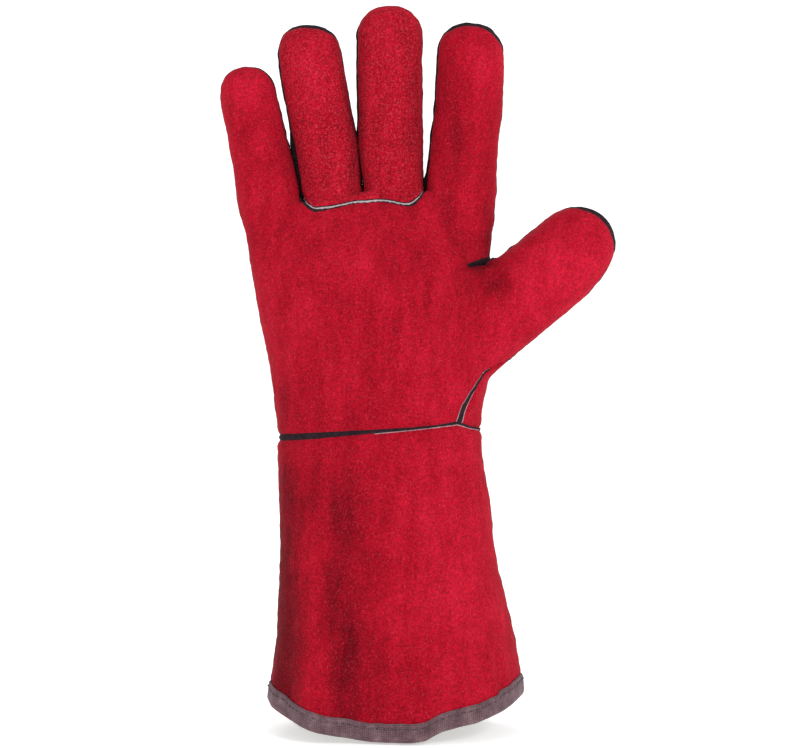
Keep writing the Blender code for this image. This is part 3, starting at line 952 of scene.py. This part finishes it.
def suede(name, colours, nap, coarse):
    """Split leather: blotches of three colours, grain, and paler fibres of nap, made darker or
    lighter by painted shade and highlights.

    coarse is 0 for a smooth face and 1 for the roughest.
    """
    made, tree, shader = material(name)
    where = attribute(tree, "rest", "Vector")
    broad = noise_at(tree, where, 32.0, 3.0, 0.6)
    cloud = noise_at(tree, where, 130.0, 3.0, 0.6)
    combed = node(tree, "ShaderNodeMapping", Vector=where, Scale=(1.0, 1.0, 0.22))
    streak = noise_at(tree, combed.outputs["Vector"], 150.0, 3.0, 0.6)
    grain = noise_at(tree, where, 820.0, 3.0, 0.7)
    fibre = noise_at(tree, where, 1500.0 - 300.0 * coarse, 2.0, 0.7)
    level = mix(tree, 0.42, ramp(tree, broad, [(0.3, grey(0.28)), (0.7, grey(0.68))]),
                ramp(tree, cloud, [(0.32, grey(0.30)), (0.7, grey(0.66))]))
    level = mix(tree, 0.35, level, ramp(tree, streak, [(0.34, grey(0.16)), (0.66, grey(0.80))]))
    # the painted shade and highlights stored on each vertex move the colour darker or lighter
    added = node(tree, "ShaderNodeMath", operation="ADD", use_clamp=True)
    plug(tree, added.inputs[0], level)
    plug(tree, added.inputs[1], attribute(tree, "painted_shading", "Fac"))
    colour = ramp(tree, added.outputs[0], list(zip((0.0, 0.45, 1.0), colours)))
    low = 0.68 - 0.08 * coarse
    shade = ramp(tree, grain, [(0.36, grey(low)), (0.64, grey(1.22 + 0.04 * coarse))])
    colour = mix(tree, 1.0, colour, shade, "MULTIPLY")
    pale = ramp(tree, fibre, [(0.54 - 0.05 * coarse, grey(0.0)),
                              (0.78, grey(0.25 + 0.17 * coarse))])
    rough = ramp(tree, grain, [(0.3, grey(0.86)), (0.7, grey(1.0))])
    relief = bump(tree, cloud, 0.3, 0.0012)
    relief = bump(tree, grain, 0.5 + 0.3 * coarse, 0.0005, Normal=relief)
    relief = bump(tree, fibre, 0.5, 0.00025, Normal=relief)
    plug_all(tree, shader, {
        "Base Color": mix(tree, pale, colour, nap), "Roughness": rough, "Normal": relief,
        "Sheen Weight": 0.035, "Sheen Roughness": 0.5, "Sheen Tint": (1.0, 0.4, 0.45, 1.0),
        "Specular IOR Level": 0.06})
    return made


REDS = ((0.128, 0.0010, 0.0052, 1), (0.338, 0.0026, 0.0135, 1), (0.56, 0.010, 0.034, 1))
PINK = (0.86, 0.115, 0.17, 1)
RED = suede("red_suede", REDS, PINK, 0.0)
COARSE = suede("red_suede_rough", REDS, (0.78, 0.085, 0.115, 1), 1.0)
# the welts' dark leather, also used for the painted shadow line above the finger seam's pale edge
# and the painted shade in the thumb's crotch
DARK = suede("dark_welt", ((0.008, 0.005, 0.007, 1), (0.020, 0.012, 0.016, 1),
                           (0.045, 0.028, 0.034, 1)), (0.12, 0.09, 0.10, 1), 0.3)
EDGE = suede("raw_edge_dull", ((0.17, 0.07, 0.08, 1), (0.33, 0.19, 0.21, 1),
                               (0.50, 0.36, 0.38, 1)), (0.72, 0.64, 0.64, 1), 0.4)
PALE = suede("raw_edge", ((0.26, 0.19, 0.20, 1), (0.42, 0.36, 0.37, 1), (0.56, 0.50, 0.51, 1)),
             (0.82, 0.78, 0.76, 1), 0.4)
COTTON = suede("lining_cloth", ((0.50, 0.47, 0.40, 1), (0.62, 0.59, 0.52, 1),
                                (0.72, 0.69, 0.62, 1)), (0.85, 0.83, 0.78, 1), 0.2)


def woven_tape():
    """Cotton tape: fine warp and weft, uneven dye and lint along it."""
    made, tree, shader = material("hem_tape")
    where = attribute(tree, "weave", "Vector")
    weave = mix(tree, 0.5, *(bands_at(tree, where, way, 310.0, 0.6) for way in "XY"))
    blotch = noise_at(tree, where, 160.0, 3.0, 0.6)
    lint = noise_at(tree, where, 1500.0, 2.0, 0.6)
    base = ramp(tree, blotch, [(0.3, (0.085, 0.046, 0.056, 1)), (0.55, (0.150, 0.086, 0.100, 1)),
                               (0.75, (0.24, 0.155, 0.17, 1))])
    colour = mix(tree, 0.55, base, ramp(tree, weave, [(0.1, grey(0.45)), (0.8, grey(1.25))]),
                 "MULTIPLY")
    hairs = ramp(tree, lint, [(0.58, grey(0.0)), (0.8, grey(0.5))])
    relief = bump(tree, lint, 0.5, 0.0002, Normal=bump(tree, weave, 0.7, 0.0004))
    plug_all(tree, shader, {
        "Base Color": mix(tree, hairs, colour, (0.42, 0.34, 0.35, 1)), "Normal": relief,
        "Roughness": 0.95, "Specular IOR Level": 0.08, "Sheen Weight": 0.15})
    return made


def thread_material():
    made, tree, shader = material("sewing_thread")
    twist = bands_at(tree, attribute(tree, "weave", "Vector"), "DIAGONAL", 420.0, 0.4)
    colour = ramp(tree, twist, [(0.1, (0.045, 0.028, 0.034, 1)), (0.8, (0.120, 0.082, 0.092, 1))])
    plug_all(tree, shader, {"Base Color": colour, "Roughness": 0.7,
                            "Normal": bump(tree, twist, 0.6, 0.0002)})
    return made


TAPE = woven_tape()
THREAD = thread_material()

# ---------- leather and lining
# the pieces that ride on the hand: material and the CAD solids each one replaces
on_hand = {
    "cuff_front_leather": (RED, ["cuff_front"]),
    "cuff_back_leather": (RED, ["cuff_back"]),
    "palm_leather": (RED, ["palm_front"]),
    "hand_back_leather": (RED, ["hand_back"]),
    "cuff_side_welts": (DARK, ["cuff_welt_left", "cuff_welt_right"]),
    "hand_side_welts": (DARK, ["hand_welt_left", "hand_welt_right", "index_side_welt",
                               "thumb_seam_welt"]),
    "wrist_piping": (DARK, ["wrist_welt"]),
    # the finger seam's dark welt, with the painted shadow line above its pale edge
    "finger_seam_gap": (DARK, ["finger_seam_welt"]),
    # no CAD solid: a dark strip of welt and painted shade in the thumb's crotch
    "thumb_crotch_welt": (DARK, []),
    "finger_seam_edge": (PALE, []),
    "thumb_seam_edges": (EDGE, []),
    "wrist_seam_edge": (EDGE, []),
}
for name, (paint, nodes) in on_hand.items():
    made = piece(name, paint)
    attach(made, "hand")
    if nodes:
        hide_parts(*nodes)

for k, name in enumerate(DIGITS):
    stands = {
        ("front", 0): [name + "_base_front", name + "_knuckle_crease"],
        ("back", 0): [name + "_base_back"],
        ("welt", 0): [],
        ("front", 1): [name + "_tip_front", name + "_mid_crease"],
        ("back", 1): [name + "_tip_back"],
        ("welt", 1): [name + "_tip_welt"],
    }
    for (face, level), nodes in stands.items():
        title = "_".join((name, face, PARTS[level]))
        rough = face == "front" and name in ("ring", "middle")
        paint = DARK if face == "welt" else (COARSE if rough else RED)
        made = piece(title, paint)
        bend_along(made)
        if nodes:
            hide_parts(*nodes)
    for level in (0, 1):
        chosen = (digit == k + 1) & (upper if level else ~upper)
        made = piece(name + "_lining_" + PARTS[level], COTTON, chosen)
        bend_along(made)
        if level == 0:
            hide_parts(name + "_lining")
made = piece("hand_and_cuff_lining", COTTON, hand_part)
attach(made, "hand")
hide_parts("hand_lining")


# ---------- the hem's tape
def object_from(name, verts, faces, weave, paint):
    mesh = mesh_from(name, verts, faces)
    layer = mesh.attributes.new("weave", "FLOAT_VECTOR", "POINT")
    layer.data.foreach_set("vector", (np.array(weave) * MM).ravel().astype(np.float32))
    mesh.materials.append(paint)
    return add_object(name, mesh)


HEM_COLUMNS = 420
TAPE_TALL = 8.6
LAP = (46.5, 48.2)    # where the tape's end laps over it on the palm side, in x
STITCH_DOWN = 2.3     # how far below the tape's top edge the stitches run


def hem_shape():
    """Points of the cuff near its hem: rows up from the hem, columns round it."""
    faces = [corner_verts[starts[f]:starts[f + 1]].tolist()
             for f in np.flatnonzero(centres[:, 2] < 60.0)]
    tree = BVHTree.FromPolygons(final.tolist(), faces)
    columns, heights = [], np.array([0.6, 2.2, 4.0, 6.0, 8.0, 9.6])
    for angle in np.arange(HEM_COLUMNS) * TAU / HEM_COLUMNS:
        across, along = superellipse(np.array([angle]))
        aim = Vector((CUFF_WIDE * across[0], CUFF_DEEP * along[0], 0.0))
        foot = hem_height(np.array([[aim.x + CUFF_MIDDLE, aim.y, 0.0]]))[0]
        column = []
        for up in heights:
            start = Vector((CUFF_MIDDLE, 0.0, foot + up)) + aim * 1.6
            hit = tree.ray_cast(start, -aim.normalized())[0]
            column.append(tuple(hit))
        columns.append(column)
    columns = np.array(columns)
    for _ in range(2):
        columns = (np.roll(columns, 1, 0) + 2 * columns + np.roll(columns, -1, 0)) / 4.0
    tangent = np.roll(columns[:, 0], -1, 0) - np.roll(columns[:, 0], 1, 0)
    out = np.cross(tangent, (0.0, 0.0, 1.0))
    out /= np.linalg.norm(out, axis=1)[:, None]
    return columns, out, heights


def tape_section(columns, out, heights, k, tall):
    """The tape's cut across: up the outside, over the top and down again."""
    def on_skin(up):
        return np.array([np.interp(up, heights, columns[k][:, c]) for c in range(3)])
    foot = on_skin(0.6)
    side = out[k]
    rise = np.array((0.0, 0.0, 1.0))
    outer = [(tall, 0.25), (tall - 0.15, 0.75), (tall - 1.2, 0.95), (tall * 0.55, 0.95),
             (2.6, 1.0), (0.9, 0.95)]
    points = [on_skin(up) + side * off for up, off in outer]
    under = [(0.7, -0.3), (0.0, -1.1), (-1.6, -1.35), (-3.4, -1.1), (-4.3, -0.3), (-4.5, 0.9),
             (-4.5, 6.0), (-3.9, 6.1), (-3.8, 1.4), (-3.2, 0.2), (-1.6, -0.5), (-0.1, 0.1)]
    points += [foot + side * off + rise * up for off, up in under]
    points += [on_skin(up) + side * off for up, off in [(1.2, 0.25), (tall * 0.5, 0.15)]]
    return points


def hem_tape():
    """The tape folded over the hem. Returns what the stitches need to lie on it."""
    columns, out, heights = hem_shape()
    count = len(columns)
    runs = np.linalg.norm(np.roll(columns[:, 0], -1, 0) - columns[:, 0], axis=1)
    run = np.concatenate(([0.0], np.cumsum(runs)))[:count]
    verts, weave, faces, tops = [], [], [], []
    for k in range(count):
        x, y = columns[k][0][:2]
        wave = 0.35 * noise.noise(Vector((run[k] / 9.0, 0.0, 3.0)))
        wave += 0.25 * noise.noise(Vector((run[k] / 3.5, 0.0, 8.0)))
        tall = TAPE_TALL + 0.5 + wave - 0.9 * float(ease(x, -70.0, -30.0))
        if y < 0.0:
            tall += 1.5 * float(ease(x, *LAP))
        tops.append(tall)
        section = tape_section(columns, out, heights, k, tall)
        steps = np.linalg.norm(np.diff(section, axis=0), axis=1)
        lengths = np.concatenate(([0.0], np.cumsum(steps)))
        for point, along in zip(section, lengths):
            fuzz = 0.10 * noise.noise(Vector(point) / 1.1)
            verts.append(point + out[k] * fuzz)
            weave.append((run[k], along, 0.0))
    sides = len(section)
    for k in range(count):
        j = (k + 1) % count
        for i in range(sides):
            m = (i + 1) % sides
            faces.append((k * sides + i, k * sides + m, j * sides + m, j * sides + i))
    made = object_from("hem_tape", verts, faces, weave, TAPE)
    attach(made, "hand")
    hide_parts("hem_binding")
    return columns, out, heights, run, tops


def stitches(columns, out, heights, run, tops):
    """A row of lock stitches along the tape, each a short sunk loop of thread."""
    verts, weave, faces = [], [], []
    spacing, length, thick = 3.4, 2.5, 0.30
    total = run[-1] + 0.8     # the last column's step closes the hem
    for n in range(int(total / spacing)):
        rings = []
        for t in np.linspace(-0.5, 0.5, 7):
            at = (n + 0.5) * spacing + t * length
            k = int(np.searchsorted(run, at % run[-1])) % len(run)
            up = tops[k] - STITCH_DOWN
            base = np.array([np.interp(up, heights, columns[k][:, c]) for c in range(3)])
            centre = base + out[k] * (0.98 + 0.22 * math.cos(math.pi * t))
            radius = thick * max(0.25, math.cos(math.pi * t) ** 0.5)
            rings.append(np.array([
                centre + radius * (math.cos(a) * out[k] + math.sin(a) * np.array((0.0, 0.0, 1.0)))
                for a in np.arange(6) * TAU / 6]))
        more, more_faces = closed_loft(rings)
        base_index = len(verts)
        verts += list(more)
        weave += [(p[0] + p[1], p[2], 0.0) for p in more]
        faces += [tuple(i + base_index for i in f) for f in more_faces]
    made = object_from("hem_stitching", verts, faces, weave, THREAD)
    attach(made, "hand")


stitches(*hem_tape())

# ---------- floor and light
FLOOR = -0.0013
# the floor's rings: radius and height in metres, as it curves up into a backdrop
BOWL = [(0.6, 0.0), (1.6, 0.0), (2.4, 0.02), (3.0, 0.16), (3.4, 0.5), (3.6, 1.0), (3.7, 2.0)]


def ground():
    sides = 64
    verts = [(radius * math.cos(a), radius * math.sin(a), height + FLOOR)
             for radius, height in BOWL for a in np.arange(sides) * TAU / sides]
    faces = [tuple(range(sides))]
    for k in range(len(BOWL) - 1):
        for i in range(sides):
            j = (i + 1) % sides
            low, high = k * sides, (k + 1) * sides
            faces.append((low + i, high + i, high + j, low + j))
    mesh = mesh_from("floor", np.array(verts) / MM, faces)
    paint, tree, shader = material("floor_paint")
    plug_all(tree, shader, {"Base Color": (0.9, 0.9, 0.9, 1), "Emission Color": (1, 1, 1, 1),
                            "Emission Strength": 0.45, "Roughness": 0.9,
                            "Specular IOR Level": 0.1})
    mesh.materials.append(paint)
    add_object("floor", mesh)


ground()


def lamp(name, place_at, aim, size, power):
    data = bpy.data.lights.new(name, "AREA")
    data.shape = "DISK"
    data.size = size
    data.energy = power
    made = add_object(name, data)
    made.location = place_at
    made.rotation_mode = "QUATERNION"
    made.rotation_quaternion = (Vector(aim) - Vector(place_at)).to_track_quat("-Z", "Y")


lamp("key", (1.0, -1.3, 1.1), (0, 0, 0.18), 0.6, 12.0)
lamp("fill", (-1.3, -1.1, 0.9), (0, 0, 0.18), 1.2, 3.0)
lamp("rear", (-0.5, 1.5, 1.2), (0, 0, 0.2), 1.0, 9.0)

world = bpy.data.worlds.new("studio")
bpy.context.scene.world = world
world.use_nodes = True
plug_all(world.node_tree, world.node_tree.nodes["Background"],
         {"Color": (1, 1, 1, 1), "Strength": 0.5})
